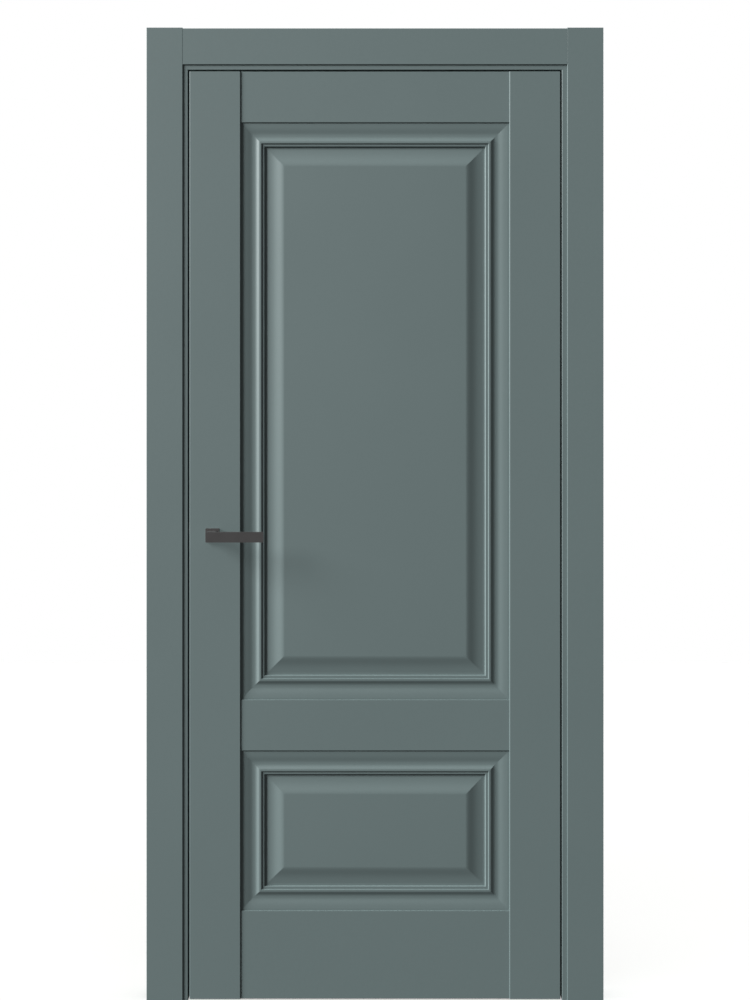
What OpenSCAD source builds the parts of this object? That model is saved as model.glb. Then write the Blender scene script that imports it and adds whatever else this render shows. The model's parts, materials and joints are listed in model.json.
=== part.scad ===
// Interior door set: a framed leaf with two raised panels, hung on concealed hinges in a rebated frame.
// X runs to the hinge side, Y away from the pull side and Z up. The origin is on the floor, in the
// middle of the leaf's width and thickness. All sizes are millimetres.

/* [Leaf] */
// Width of the leaf
leaf_w = 800; // [600:10:1000]
// Height of the leaf
leaf_h = 2000; // [1800:10:2300]
// Thickness of the stiles
leaf_t = 40; // [38:1:50]
// Face width of each stile
stile_w = 110; // [100:1:140]
// Face height of the top rail
top_rail_h = 110; // [80:1:160]
// Face height of the middle rail
middle_rail_h = 110; // [80:1:160]
// Face height of the bottom rail
bottom_rail_h = 190; // [120:1:260]
// Height of the lower panel opening
lower_opening_h = 345; // [260:5:600]
// Depth of the rail faces behind the stile faces
rail_setback = 2; // [1:0.5:4]
// Rounding of the stiles' long edges
stile_edge_r = 1.5; // [1:0.5:5]
// Rounding of the rails' long edges
rail_edge_r = 1; // [0.5:0.5:3]

/* [Panels] */
// Thickness of the panel edge in the grooves
panel_edge_t = 12; // [8:1:16]
// Depth of the panel edge in the grooves
tongue_in = 12; // [8:1:20]
// Panel thickness at the margin beside the moulding
margin_t = 22; // [18:1:28]
// Width of the flat margin
margin_w = 4; // [1:0.5:10]
// Width of the bevel that rises to the field
bevel_w = 38; // [20:1:60]
// Panel thickness over the raised field
field_t = 34; // [30:1:38]
// Clearance of panels and tenons in their grooves
groove_fit = 0.2; // [0.1:0.1:0.5]

/* [Mouldings] */
// Width of the moulding round each panel
moulding_w = 53; // [45:1:65]
// Depth of the moulding's outer flat below the rail face
quirk_d = 2.2; // [0.5:0.1:3]
// Width of the moulding's outer flat
quirk_w = 4; // [2:0.5:8]
// Distance of the hollow's lowest line from the rail
hollow_at = 26.5; // [20:0.5:32]
// Depth of the hollow below the outer flat
hollow_d = 2.5; // [1:0.1:5]
// Rise of the crest from the hollow
crest_h = 3.4; // [2:0.1:4]
// Width of the moulding's rounded crest
crest_w = 2.6; // [1:0.1:5]
// Width of each small drop inside the crest
drop_w = 2.7; // [1:0.1:4]
// Width of the land between the two drops
land_w = 3.5; // [1:0.1:6]

/* [Dowels] */
// Diameter of the dowels in the rail joints
dowel_d = 10; // [6:1:14]
// Length of the dowels
dowel_l = 100; // [70:5:120]
// Dowels at each end of the top and middle rails
dowels_small = 2; // [1:1:3]
// Dowels at each end of the bottom rail
dowels_large = 3; // [2:1:5]
// Clearance round a dowel and at its ends
dowel_fit = 0.1; // [0.05:0.05:0.3]

/* [Frame] */
// Gap between the leaf and the frame
leaf_gap = 3; // [2:0.5:4]
// Gap between the leaf and the floor
floor_gap = 3; // [2:0.5:10]
// Thickness of the frame at the rebate
jamb_t = 36; // [35:1:50]
// Depth of the frame through the wall
frame_depth = 80; // [70:1:140]
// Depth of the frame's seat for the architraves behind the leaf's face
frame_setback = 3; // [1:0.5:5]
// Height of the frame's nose above that seat
nose_h = 2.5; // [1:0.5:3]
// Height of the stop
stop_h = 12; // [10:1:20]
// Gap between the leaf's back and the stop
stop_gap = 3; // [2:0.5:5]
// Rounding of the frame's visible edges
frame_edge_r = 1.5; // [0.5:0.5:3]
// Diameter of the wall fixing holes
fixing_d = 8; // [5:0.5:10]
// Countersink diameter of the wall fixing holes
fixing_head_d = 15; // [11:0.5:18]
// Distance of the fixing holes from the floor and from the head
fixing_end = 420; // [380:10:700]
// Diameter of the corner screws
corner_screw_d = 6; // [4:0.5:8]
// Length of the corner screws
corner_screw_l = 70; // [50:5:90]
// Distance of the corner screws from the frame's faces
corner_screw_in = 20; // [14:1:26]

/* [Seal] */
// Width of the seal's tongue and of its groove
seal_tongue_w = 3; // [2:0.5:4]
// Depth of the seal's groove
seal_groove_d = 6; // [4:0.5:8]
// Width of the seal's lip
seal_w = 7; // [5:0.5:8]
// Distance of the seal's middle from the rebate
seal_in = 7.5; // [6.5:0.5:8]
// Clearance of the seal in its groove and before the leaf
seal_fit = 0.3; // [0.2:0.1:0.5]

/* [Architraves] */
// Width of the frame's nose left uncovered
reveal = 11.5; // [6:0.5:16]
// Face width of the architraves
architrave_w = 78; // [60:0.5:100]
// Thickness of the architraves on the wall
architrave_t = 12; // [8:1:16]
// Thickness of the architraves on the frame
lap_t = 5; // [4:0.5:8]
// Rounding of the architraves' front edges
architrave_r = 1; // [1:0.5:5]
// Height of the side architraves above the head one
side_overrun = 1.5; // [0:0.5:5]
// Clearance between the architraves and the frame's nose and outer face
lap_fit = 0.2; // [0.1:0.1:0.5]

/* [Hinges] */
// Distance of the hinge centres from the leaf's ends
hinge_end = 250; // [180:5:350]
// Height of the hinge's face plate
hinge_h = 118; // [106:1:140]
// Width of the hinge's face plate
hinge_w = 27; // [26.5:0.5:29]
// Thickness of the hinge's face plate
hinge_plate_t = 3; // [2:0.5:4]
// Distance of the hinge screws from the plate's ends
hinge_screw_in = 9; // [7:0.5:12]
// Height of the hinge's body behind the plate
hinge_body_h = 78; // [70:1:84]
// Depth of the hinge's body
hinge_d = 32; // [31.5:0.5:34]
// Wood left in front of the hinge's body, measured from the leaf's face
hinge_cover = 5.5; // [5:0.5:6]
// Distance of the turning axis in front of the leaf's face
axis_out = 6; // [5:0.5:6.5]
// Radius of the links at the middle of their thickness
link_r = 32; // [31:0.5:33]
// Thickness of the links
link_t = 8; // [5:0.5:8]
// Height of the links
link_h = 60; // [44:1:64]
// Height of the frame link's tongue
tongue_h = 24; // [16:1:30]
// Angle at which a link ends inside its body, from the frame's face
link_start = 29; // [28:0.5:34]
// Angle taken by the joined end of each link
link_head = 11; // [8:1:14]
// Angle left free between the ends of the two links
link_free = 2; // [1:0.5:4]
// Clearance round the links
link_fit = 0.3; // [0.2:0.05:0.5]
// Clearance of the hinge in its mortise
mortise_fit = 0.2; // [0.1:0.1:0.5]

/* [Screws] */
// Shank diameter of the hinge and plate screws
screw_d = 4; // [3:0.5:5]
// Head diameter of those screws
screw_head_d = 8; // [6:0.5:9]
// Length of those screws
screw_l = 25; // [15:1:30]
// Clearance round a screw
screw_fit = 0.1; // [0.05:0.05:0.2]

/* [Latch] */
// Height of the spindle above the leaf's lower end
handle_h = 1000; // [850:10:1150]
// Distance of the spindle from the leaf's edge
backset = 50; // [45:1:60]
// Height of the latch bolt above the spindle
latch_rise = 16; // [15:0.5:20]
// Thickness of the forend and strike plates
plate_t = 2.5; // [1.5:0.5:3]
// Width of the forend plate
forend_w = 22; // [18:1:26]
// Height of the forend plate
forend_h = 130; // [120:5:180]
// Width of the strike plate
strike_w = 24; // [20:1:28]
// Height of the strike plate
strike_h = 110; // [90:5:140]
// Distance of the plate screws from the plate's ends
plate_screw_in = 11; // [8:0.5:14]
// Depth of the pocket behind the strike plate
strike_pocket = 14; // [12:1:20]
// Thickness of the latch case
case_t = 15; // [14:0.5:18]
// Height of the latch case
case_h = 72; // [68:1:84]
// Wall thickness of the latch case and its cover
case_wall = 1.2; // [0.8:0.1:1.5]
// Room behind the spindle's axis inside the case
case_back = 22.5; // [22:0.5:28]
// Width of the latch bolt
bolt_w = 10; // [8:0.5:11]
// Height of the latch bolt
bolt_h = 22; // [16:1:24]
// Length that the bolt stands out of the leaf
bolt_throw = 11; // [8:0.5:12]
// Length of the bolt's head inside the leaf's edge
bolt_in = 15; // [12:1:18]
// Width of the bolt's blunt nose
bolt_nose = 2.5; // [1:0.5:4]
// Clearance round the bolt in its plates
bolt_fit = 0.4; // [0.2:0.1:0.8]
// Thickness of the bolt's tail plate
tail_t = 1.7; // [1:0.1:2]
// Height of the bolt's tail plate
tail_h = 10; // [8:0.5:10]
// Length of the peg that the follower's finger pushes
peg_l = 5; // [3:0.5:6]
// Radius of the follower's journals
hub_r = 9; // [7.5:0.5:9]
// Height of the follower's flange beyond its journals
hub_flange = 1.2; // [0.8:0.1:1.5]
// Thickness of the follower between the case walls
hub_t = 8; // [6:0.5:8]
// Radius of the follower's finger at its tip's middle
finger_r = 16; // [15:0.5:16]
// Width of the follower's finger
finger_w = 5; // [4:0.5:5]
// Running clearance of the follower and the levers
running_fit = 0.06; // [0.03:0.01:0.1]
// Clearance between the finger, the peg, the tail plate and the case
finger_fit = 0.3; // [0.2:0.1:0.5]
// Wire diameter of the latch spring
spring_wire = 1; // [0.8:0.1:1.2]
// Outer diameter of the latch spring
spring_d = 8; // [6:0.5:8]
// Length of the latch spring at rest
spring_l = 22; // [18:1:22]
// Turns of the latch spring
spring_turns = 7; // [5:1:9]
// Thickness of the post that backs the spring
post_t = 2.5; // [2:0.5:3]

/* [Handles] */
// Side of the square rosettes
rosette_s = 30; // [29:1:50]
// Projection of the rosettes from the leaf's face
rosette_t = 8; // [7:0.5:12]
// Wall thickness of the rosette covers
rosette_wall = 2; // [1.5:0.25:2]
// Side of the rosette bases
base_s = 25; // [24.5:0.5:25.5]
// Thickness of the rosette bases
base_t = 4; // [3:0.5:5]
// Diameter of the bore in the rosette bases
base_bore = 17.5; // [17:0.25:18]
// Distance of the base screws from the spindle, across and up
base_screw_at = 9; // [8.8:0.1:9.2]
// Shank diameter of the base screws
base_screw_d = 3.5; // [2.5:0.25:3.5]
// Head diameter of the base screws
base_screw_head_d = 6; // [5:0.25:6.5]
// Length of the base screws
base_screw_l = 13; // [8:0.5:14]
// Radius of the lever's journal in the rosette
journal_r = 8; // [7:0.25:8]
// Side of the lever's square neck
neck_s = 20; // [17:0.5:22]
// Gap between the rosette and the lever's neck
neck_gap = 0.5; // [0.3:0.1:1]
// Length of the lever's bar
lever_l = 123; // [100:1:150]
// Height of the lever's bar
lever_h = 22; // [16:0.5:26]
// Thickness of the lever's bar
lever_t = 10; // [8:0.5:14]
// Projection of the lever from the leaf's face
lever_out = 60; // [50:1:70]
// Rounding of the lever's and rosettes' corners
handle_r = 1.5; // [0.5:0.5:3]
// Side of the square spindle
spindle_s = 8; // [7:0.5:8]
// Length of the spindle that enters each lever, from the leaf's face
spindle_out = 38; // [30:1:42]
// Clearance of the spindle in its sockets
spindle_fit = 0.1; // [0.05:0.05:0.2]
// Diameter of the set screws
set_screw_d = 5; // [4:0.5:6]
// Distance of the set screws from the leaf's face
set_screw_at = 22; // [15:1:26]
// Diameter of the bore in the stile round the spindle
spindle_bore = 20; // [19:0.5:20.5]

/* [Hidden] */
$fn = 64;
// Overlap that keeps cuts clean
cut = 1;
// Points on each curved stretch of a profile
curve_n = 10;
// Bias of a swept curve: its steepest line lies two thirds along
sweep_bias = 1.65;
// Share of a panel's bevel that rises from its very edge
bevel_lead = 0.4;
// Angle by which the room for a link runs past it
link_over = 1;
// Angle at which a link's track leaves the hinge's face
track_end = 100;
// Points round the spring's wire, and steps in each of its turns
spring_sides = 8;
spring_steps = 10;

paint = [0.40, 0.455, 0.455];
graphite = [0.27, 0.27, 0.28];
steel = [0.72, 0.72, 0.70];
zinc = [0.58, 0.59, 0.60];
rubber = [0.13, 0.14, 0.14];
beech = [0.78, 0.62, 0.44];

// Leaf levels
face_y = leaf_t / 2;
edge_x = leaf_w / 2;
open_x = edge_x - stile_w;
leaf_z0 = floor_gap;
leaf_z1 = leaf_z0 + leaf_h;
lower_z0 = leaf_z0 + bottom_rail_h;
lower_z1 = lower_z0 + lower_opening_h;
upper_z0 = lower_z1 + middle_rail_h;
upper_z1 = leaf_z1 - top_rail_h;
rail_y = face_y - rail_setback;
tongue_y = panel_edge_t / 2;
margin_y = margin_t / 2;
field_y = field_t / 2;
quirk_y = rail_y - quirk_d;
hollow_y = quirk_y - hollow_d;
crest_at = moulding_w - 2 * drop_w - land_w - crest_w;
crest_y = hollow_y + crest_h;
step_y = (crest_y - margin_y) / 2;

// Frame levels
rebate_x = edge_x + leaf_gap;
rebate_z = leaf_z1 + leaf_gap;
frame_y0 = frame_setback - face_y;
frame_y1 = frame_y0 + frame_depth;
nose_y0 = frame_y0 - nose_h;
nose_y1 = frame_y1 + nose_h;
nose_w = reveal - lap_fit;
stop_y = face_y + stop_gap;
outer_x = rebate_x + jamb_t;
outer_z = rebate_z + jamb_t;
fixing_y = (frame_y0 + stop_y) / 2;
fixing_zs = [fixing_end, rebate_z - fixing_end];
corner_ys = [frame_y0 + corner_screw_in, frame_y1 - corner_screw_in];
corner_z = rebate_z + jamb_t / 2;

// Hinge levels
axis_x = edge_x + leaf_gap / 2;
axis_y = -face_y - axis_out;
hinge_y = -face_y + hinge_cover + hinge_w / 2;
upper_hinge_z = leaf_z1 - hinge_end;
lower_hinge_z = leaf_z0 + hinge_end;
hinge_zs = [lower_hinge_z, upper_hinge_z];
hinge_screw_z = hinge_h / 2 - hinge_screw_in;
link_r0 = link_r - link_t / 2;
link_r1 = link_r + link_t / 2;
link_tip = 180 - link_start;

// Latch levels
lock_x = backset - edge_x;
lock_z = leaf_z0 + handle_h;
latch_z = lock_z + latch_rise;
case_x0 = plate_t - edge_x;
case_x1 = lock_x + case_back;
case_y = case_t / 2;
inner_y = case_y - case_wall;
tail_y0 = inner_y - finger_fit - tail_t;
bolt_back = bolt_in - edge_x;
peg_x0 = lock_x + finger_w / 2 + finger_fit;
post_x0 = bolt_back + spring_l;

// Share of the way along a swept curve, for t from 0 to 1, part of which rises from the start
function sweep(t, lead) =
    (1 - lead) * (1 - cos(180 * pow(t, sweep_bias))) / 2 + lead * (1.5 * t - 0.5 * pow(t, 3));

// Points of a swept curve between two points
function swept(from, to, n, lead = 0) = [
    for (i = [0 : n]) let (t = i / n)
        [from[0] + (to[0] - from[0]) * t, from[1] + (to[1] - from[1]) * sweep(t, lead)]
];

// Half thickness of a panel against the distance from the edge of its opening
function panel_edge() = concat(
    [[-tongue_in, tongue_y], [moulding_w, tongue_y], [moulding_w, margin_y]],
    swept([moulding_w + margin_w, margin_y], [moulding_w + margin_w + bevel_w, field_y], curve_n, bevel_lead)
);

// Closed outline of a panel of the given half width, both faces
function panel_outline(half) = let (p = panel_edge(), last = len(p) - 1) concat(
    [for (q = p) [q[0] - half, -q[1]]],
    [for (i = [last : -1 : 0]) [half - p[i][0], -p[i][1]]],
    [for (q = p) [half - q[0], q[1]]],
    [for (i = [last : -1 : 0]) [p[i][0] - half, p[i][1]]]
);

// Heights of the moulding's face against the distance from the rail
function moulding_face() = concat(
    [[0, quirk_y]],
    swept([quirk_w, quirk_y], [hollow_at, hollow_y], curve_n),
    swept([hollow_at, hollow_y], [crest_at, crest_y], curve_n),
    swept([crest_at + crest_w, crest_y], [crest_at + crest_w + drop_w, crest_y - step_y], curve_n / 2),
    swept([moulding_w - drop_w, crest_y - step_y], [moulding_w, margin_y], curve_n / 2)
);

// Heights of the dowels on a rail
function dowel_zs(z, h, n) = [for (i = [1 : n]) z + h * i / (n + 1)];

// What is cut from a square corner at the origin to round it
module corner_round(r) {
    difference() {
        translate([-cut, -cut]) square(r + cut);
        translate([r, r]) circle(r);
    }
}

// Rectangle with rounded corners, centred
module rounded_rect(w, h, r) {
    square([w - 2 * r, h], center = true);
    square([w, h - 2 * r], center = true);
    for (x = [-1, 1], y = [-1, 1]) translate([x * (w / 2 - r), y * (h / 2 - r)]) circle(r);
}

// Plate outline with round ends, centred, its long side along the second axis
module stadium(w, h) {
    square([w, h - w], center = true);
    for (y = [-1, 1]) translate([0, y * (h - w) / 2]) circle(w / 2);
}

// Draws a section given in Y and Z along X, from x to x + l
module along_x(x, l) {
    translate([x, 0, 0]) rotate([90, 0, 90]) linear_extrude(l) children();
}

// Draws an outline given in X and Z along Y, from y to y + l
module along_y(y, l) {
    translate([0, y + l, 0]) rotate([90, 0, 0]) linear_extrude(l) children();
}

// The other side of the part's middle plane
module on_latch_side() {
    mirror([1, 0, 0]) children();
}

// The other face of the leaf
module on_back() {
    mirror([0, 1, 0]) children();
}

// Both sides of the middle plane
module both_sides() {
    children();
    on_latch_side() children();
}

// Countersunk screw with its head's face at the origin, pointing down
module countersunk(d, l, head_d) {
    translate([0, 0, -l]) cylinder(d = d, h = l);
    translate([0, 0, -(head_d - d) / 2]) cylinder(d1 = d, d2 = head_d, h = (head_d - d) / 2);
}

// Room for a countersunk screw
module countersunk_room(d, l, head_d) {
    countersunk(d + 2 * screw_fit, l + screw_fit, head_d + 2 * screw_fit);
    cylinder(d = head_d + 2 * screw_fit, h = cut);
}

// Pilot hole for a screw whose head lies above the wood
module pilot_room(d, l) {
    translate([0, 0, -l - screw_fit]) cylinder(d = d + 2 * screw_fit, h = l + screw_fit + cut);
}

// Section of the frame with its rebate, stop, seal groove and noses, on the hinge side
module frame_section() {
    difference() {
        polygon([
            [rebate_x, nose_y0], [rebate_x + nose_w, nose_y0], [rebate_x + nose_w, frame_y0],
            [outer_x, frame_y0], [outer_x, frame_y1],
            [rebate_x - stop_h + nose_w, frame_y1], [rebate_x - stop_h + nose_w, nose_y1],
            [rebate_x - stop_h, nose_y1], [rebate_x - stop_h, stop_y], [rebate_x, stop_y]
        ]);
        translate([rebate_x, nose_y0]) corner_round(frame_edge_r);
        translate([rebate_x - stop_h, stop_y]) corner_round(frame_edge_r);
        translate([rebate_x - stop_h, nose_y1]) mirror([0, 1]) corner_round(frame_edge_r);
        translate([rebate_x - seal_in - seal_tongue_w / 2, stop_y - cut])
            square([seal_tongue_w, seal_groove_d + cut]);
    }
}

// Section of the seal, on the hinge side
module seal_section() {
    difference() {
        translate([rebate_x - seal_in - seal_w / 2, face_y + seal_fit])
            square([seal_w, stop_gap - seal_fit]);
        for (x = [0, 1]) translate([rebate_x - seal_in + (x - 0.5) * seal_w, face_y + seal_fit])
            mirror([x, 0]) corner_round((stop_gap - seal_fit) / 2);
    }
    translate([rebate_x - seal_in - seal_tongue_w / 2 + seal_fit / 2, stop_y])
        square([seal_tongue_w - seal_fit, seal_groove_d - seal_fit]);
}

// Keeps what lies below the mitre of the upper corner, on the hinge side
module below_mitre() {
    intersection() {
        linear_extrude(outer_z) children();
        along_y(nose_y0 - cut, nose_y1 - nose_y0 + 2 * cut) polygon([
            [rebate_x - rebate_z, 0], [outer_x, 0], [outer_x, outer_z]
        ]);
    }
}

// Keeps what lies above the mitres of both upper corners
module above_mitre() {
    intersection() {
        translate([-outer_x, 0, rebate_z - rebate_x]) rotate([90, 0, 90]) linear_extrude(2 * outer_x)
            mirror([1, -1]) children();
        along_y(nose_y0 - cut, nose_y1 - nose_y0 + 2 * cut) polygon([
            [-outer_x, outer_z], [outer_x, outer_z], [0, outer_z - outer_x]
        ]);
    }
}

// Wall fixing holes in a jamb, on the hinge side
module fixing_holes() {
    for (z = fixing_zs) translate([rebate_x, fixing_y, z]) rotate([0, -90, 0]) {
        countersunk(fixing_d, jamb_t + cut, fixing_head_d);
        cylinder(d = fixing_head_d, h = cut);
    }
}

// Corner screws on the hinge side, or the room for them
module corner_screw_pair(grow) {
    for (y = corner_ys) translate([outer_x - corner_screw_l - grow, y, corner_z]) rotate([0, 90, 0])
        cylinder(d = corner_screw_d + 2 * grow, h = corner_screw_l + 2 * grow);
}

// Room for a concealed hinge half in the frame, grown by its clearance
module hinge_mortise() {
    f = mortise_fit;
    for (z = hinge_zs) {
        translate([0, hinge_y, z]) along_x(rebate_x - cut, hinge_plate_t + f + cut)
            stadium(hinge_w + 2 * f, hinge_h + 2 * f);
        translate([0, hinge_y, z]) along_x(rebate_x - cut, hinge_d + f + cut)
            square([hinge_w + 2 * f, hinge_body_h + 2 * f], center = true);
        hinge_screws_at(z) countersunk_room(screw_d, screw_l, screw_head_d);
    }
}

// Places the two screws of a frame hinge half
module hinge_screws_at(z) {
    for (s = [-1, 1]) translate([rebate_x, hinge_y, z + s * hinge_screw_z]) rotate([0, -90, 0])
        children();
}

// Mirrors a frame hinge feature into the leaf
module into_leaf() {
    translate([2 * axis_x, 0, 0]) mirror([1, 0, 0]) children();
}

// Ring sector about the turning axis, between two angles
module ring_sector(r0, r1, a0, a1, z0, z1) {
    translate([axis_x, axis_y, z0]) rotate([0, 0, a0]) rotate_extrude(angle = a1 - a0)
        translate([r0, 0]) square([r1 - r0, z1 - z0]);
}

// Frame half of a concealed hinge: face plate, body and the curved track for the links
module hinge_half(z) {
    difference() {
        union() {
            translate([0, hinge_y, z]) along_x(rebate_x, hinge_plate_t) stadium(hinge_w, hinge_h);
            translate([0, hinge_y, z]) along_x(rebate_x, hinge_d)
                square([hinge_w, hinge_body_h], center = true);
        }
        ring_sector(
            link_r0 - link_fit, link_r1 + link_fit, link_start - link_over, track_end,
            z - link_h / 2 - link_fit, z + link_h / 2 + link_fit
        );
        hinge_screws_at(z) countersunk_room(screw_d, screw_l, screw_head_d);
    }
}

// Frame link of a hinge: a curved tongue with a full-height head inside the frame
module frame_link(z) {
    half = link_h / 2;
    tip = link_tip - link_head - link_free;
    difference() {
        ring_sector(link_r0, link_r1, link_start, tip, z - half, z + half);
        for (s = [z + tongue_h / 2, z - half - cut]) ring_sector(
            link_r0 - cut, link_r1 + cut, link_start + link_head, tip + link_over,
            s, s + half - tongue_h / 2 + cut
        );
    }
}

// Leaf link of a hinge: a curved fork round the tongue, joined inside the leaf
module leaf_link(z) {
    half = link_h / 2;
    slot = tongue_h / 2 + link_fit;
    from = link_start + link_head + link_free;
    difference() {
        ring_sector(link_r0, link_r1, from, link_tip, z - half, z + half);
        ring_sector(
            link_r0 - cut, link_r1 + cut, from - link_over, link_tip - link_head, z - slot, z + slot
        );
    }
}

// Section of an architrave from its inner edge: a lap on the frame and a thicker part beyond it
module architrave_section(inner, frame_end) {
    lap_w = frame_end + lap_fit - inner;
    translate([inner, frame_y0 - lap_t]) difference() {
        polygon([
            [0, 0], [architrave_w, 0], [architrave_w, architrave_t],
            [lap_w, architrave_t], [lap_w, lap_t], [0, lap_t]
        ]);
        corner_round(architrave_r);
        translate([architrave_w, 0]) mirror([1, 0]) corner_round(architrave_r);
    }
}

// Side architrave on the hinge side, whose inner edge clears the rebate by the given distance
module side_architrave(clear) {
    linear_extrude(rebate_z + clear + architrave_w + side_overrun)
        architrave_section(rebate_x + clear, outer_x);
}

// Head architrave between the side ones
module head_architrave(clear) {
    along_x(-rebate_x - clear, 2 * (rebate_x + clear)) mirror([1, -1])
        architrave_section(rebate_z + clear, outer_z);
}

// Turns a front architrave to the frame's back face
module at_frame_back() {
    translate([0, frame_y0 + frame_y1, 0]) mirror([0, 1, 0]) children();
}

// Stile blank on the hinge side: rounded edges and a groove for panels and tenons
module stile_blank() {
    difference() {
        translate([0, 0, leaf_z0]) linear_extrude(leaf_h) difference() {
            translate([edge_x - stile_w / 2, 0]) rounded_rect(stile_w, leaf_t, stile_edge_r);
            translate([open_x - cut, -tongue_y - groove_fit])
                square([tongue_in + groove_fit + cut, panel_edge_t + 2 * groove_fit]);
        }
        all_dowels(dowel_fit);
    }
}

// Rail with stub tenons, grooved for a panel below, above or both
module rail(z, h, groove_below, groove_above) {
    groove = tongue_in + groove_fit;
    difference() {
        union() {
            translate([0, 0, z + h / 2]) along_x(-open_x, 2 * open_x)
                rounded_rect(2 * rail_y, h, rail_edge_r);
            along_x(-open_x - tongue_in, 2 * (open_x + tongue_in))
                translate([-tongue_y, z]) square([panel_edge_t, h]);
        }
        for (s = concat(groove_below ? [z - cut] : [], groove_above ? [z + h - groove] : []))
            along_x(-open_x - tongue_in - cut, 2 * (open_x + tongue_in + cut))
                translate([-tongue_y - groove_fit, s])
                    square([panel_edge_t + 2 * groove_fit, groove + cut]);
        all_dowels(dowel_fit);
        on_latch_side() all_dowels(dowel_fit);
    }
}

// Dowels of the hinge side's joints, or the room for them
module all_dowels(grow) {
    zs = concat(
        dowel_zs(leaf_z0, bottom_rail_h, dowels_large),
        dowel_zs(lower_z1, middle_rail_h, dowels_small),
        dowel_zs(upper_z1, top_rail_h, dowels_small)
    );
    for (z = zs) translate([open_x - dowel_l / 2 - grow, 0, z]) rotate([0, 90, 0])
        cylinder(d = dowel_d + 2 * grow, h = dowel_l + 2 * grow);
}

// Raised and fielded panel: the same section swept across and up, so that its corners are mitred
module raised_panel(z0, z1) {
    h = z1 - z0;
    intersection() {
        translate([0, 0, z0 - tongue_in]) linear_extrude(h + 2 * tongue_in)
            polygon(panel_outline(open_x));
        translate([0, 0, (z0 + z1) / 2]) along_x(-open_x - tongue_in, 2 * (open_x + tongue_in))
            polygon([for (p = panel_outline(h / 2)) [p[1], p[0]]]);
    }
}

// One mitred length of moulding: the rail's edge at x = 0, its length along Z, its face towards -Y
module moulding(l) {
    section = concat(
        [for (p = moulding_face()) [p[0], -p[1]]],
        [[moulding_w, -tongue_y], [0, -tongue_y]]
    );
    intersection() {
        linear_extrude(l) polygon(section);
        along_y(-face_y, face_y)
            polygon([[0, 0], [moulding_w, moulding_w], [moulding_w, l - moulding_w], [0, l]]);
    }
}

// The two upright mouldings on the front of a panel
module uprights(z0, z1) {
    color(paint) both_sides() translate([-open_x, 0, z0]) moulding(z1 - z0);
}

// The two level mouldings on the front of a panel
module crosspieces(z0, z1) {
    color(paint) {
        translate([-open_x, 0, z1]) rotate([0, 90, 0]) moulding(2 * open_x);
        translate([-open_x, 0, z0]) mirror([0, 0, 1]) rotate([0, 90, 0]) moulding(2 * open_x);
    }
}

// Plate outline at height z, extruded from x to x + l
module latch_plate(x, z, l, w, h) {
    translate([0, 0, z]) along_x(x, l) stadium(w, h);
}

// Opening for the bolt in a plate, from x to x + l
module bolt_opening(x, l, grow) {
    translate([x, -bolt_w / 2 - grow, latch_z - bolt_h / 2 - grow])
        cube([l, bolt_w + 2 * grow, bolt_h + 2 * grow]);
}

// Places the two screws of a plate at height z whose face is at x and looks along dir
module plate_screws_at(x, z, dir, h) {
    for (s = [-1, 1]) translate([x, 0, z + s * (h / 2 - plate_screw_in)]) rotate([0, 90 * dir, 0])
        children();
}

// Places an outline given in X and Z in front of the leaf's face by d, round the spindle's axis
module before_face(d) {
    translate([lock_x, -face_y - d, lock_z]) rotate([90, 0, 0]) children();
}

// Places the two screws of a rosette base, heads outwards
module base_screws_at() {
    for (s = [-1, 1]) before_face(base_t) translate([s * base_screw_at, s * base_screw_at, 0])
        children();
}

// Hub's bore through a case wall
module hub_bore() {
    translate([lock_x, 0, lock_z]) rotate([90, 0, 0])
        cylinder(r = hub_r + running_fit, h = 2 * case_t, center = true);
}

module rosette_base() {
    color(zinc) difference() {
        before_face(0) linear_extrude(base_t) rounded_rect(base_s, base_s, handle_r);
        before_face(-cut) cylinder(d = base_bore, h = base_t + 2 * cut);
        base_screws_at() countersunk_room(base_screw_d, base_screw_l, base_screw_head_d);
    }
}

module rosette() {
    inner_s = rosette_s - 2 * rosette_wall;
    color(graphite) difference() {
        before_face(0) linear_extrude(rosette_t) rounded_rect(rosette_s, rosette_s, handle_r);
        before_face(-cut) linear_extrude(rosette_t - rosette_wall + cut) square(inner_s, center = true);
        before_face(0) cylinder(r = journal_r + running_fit, h = rosette_t + cut);
    }
}

module lever() {
    neck_from = rosette_t + neck_gap;
    color(graphite) difference() {
        union() {
            before_face(neck_gap) cylinder(r = journal_r, h = neck_from);
            before_face(neck_from) linear_extrude(lever_out - lever_t - neck_from + cut)
                rounded_rect(neck_s, neck_s, handle_r);
            before_face(lever_out - lever_t) linear_extrude(lever_t)
                translate([(lever_l - neck_s) / 2, 0]) rounded_rect(lever_l, lever_h, handle_r);
        }
        before_face(0) linear_extrude(spindle_out + spindle_fit)
            square(spindle_s + 2 * spindle_fit, center = true);
        set_screw(set_screw_d + 2 * screw_fit, neck_s / 2);
    }
}

// Set screw of the given length up from the underside of a lever's neck
module set_screw(d, l) {
    translate([lock_x, -face_y - set_screw_at, lock_z - neck_s / 2]) cylinder(d = d, h = l);
}

module latch_jamb() {
    color(paint) difference() {
        on_latch_side() below_mitre() frame_section();
        on_latch_side() fixing_holes();
        on_latch_side() corner_screw_pair(screw_fit);
        latch_plate(-rebate_x - plate_t - mortise_fit, latch_z, plate_t + mortise_fit + cut,
            strike_w + 2 * mortise_fit, strike_h + 2 * mortise_fit);
        bolt_opening(-rebate_x - strike_pocket, strike_pocket, 2 * bolt_fit);
        plate_screws_at(-rebate_x, latch_z, 1, strike_h)
            countersunk_room(screw_d, screw_l, screw_head_d);
    }
}

module hinge_jamb() {
    color(paint) difference() {
        below_mitre() frame_section();
        fixing_holes();
        corner_screw_pair(screw_fit);
        hinge_mortise();
    }
}

module head_jamb() {
    color(paint) difference() {
        above_mitre() frame_section();
        both_sides() corner_screw_pair(screw_fit);
    }
}

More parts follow.
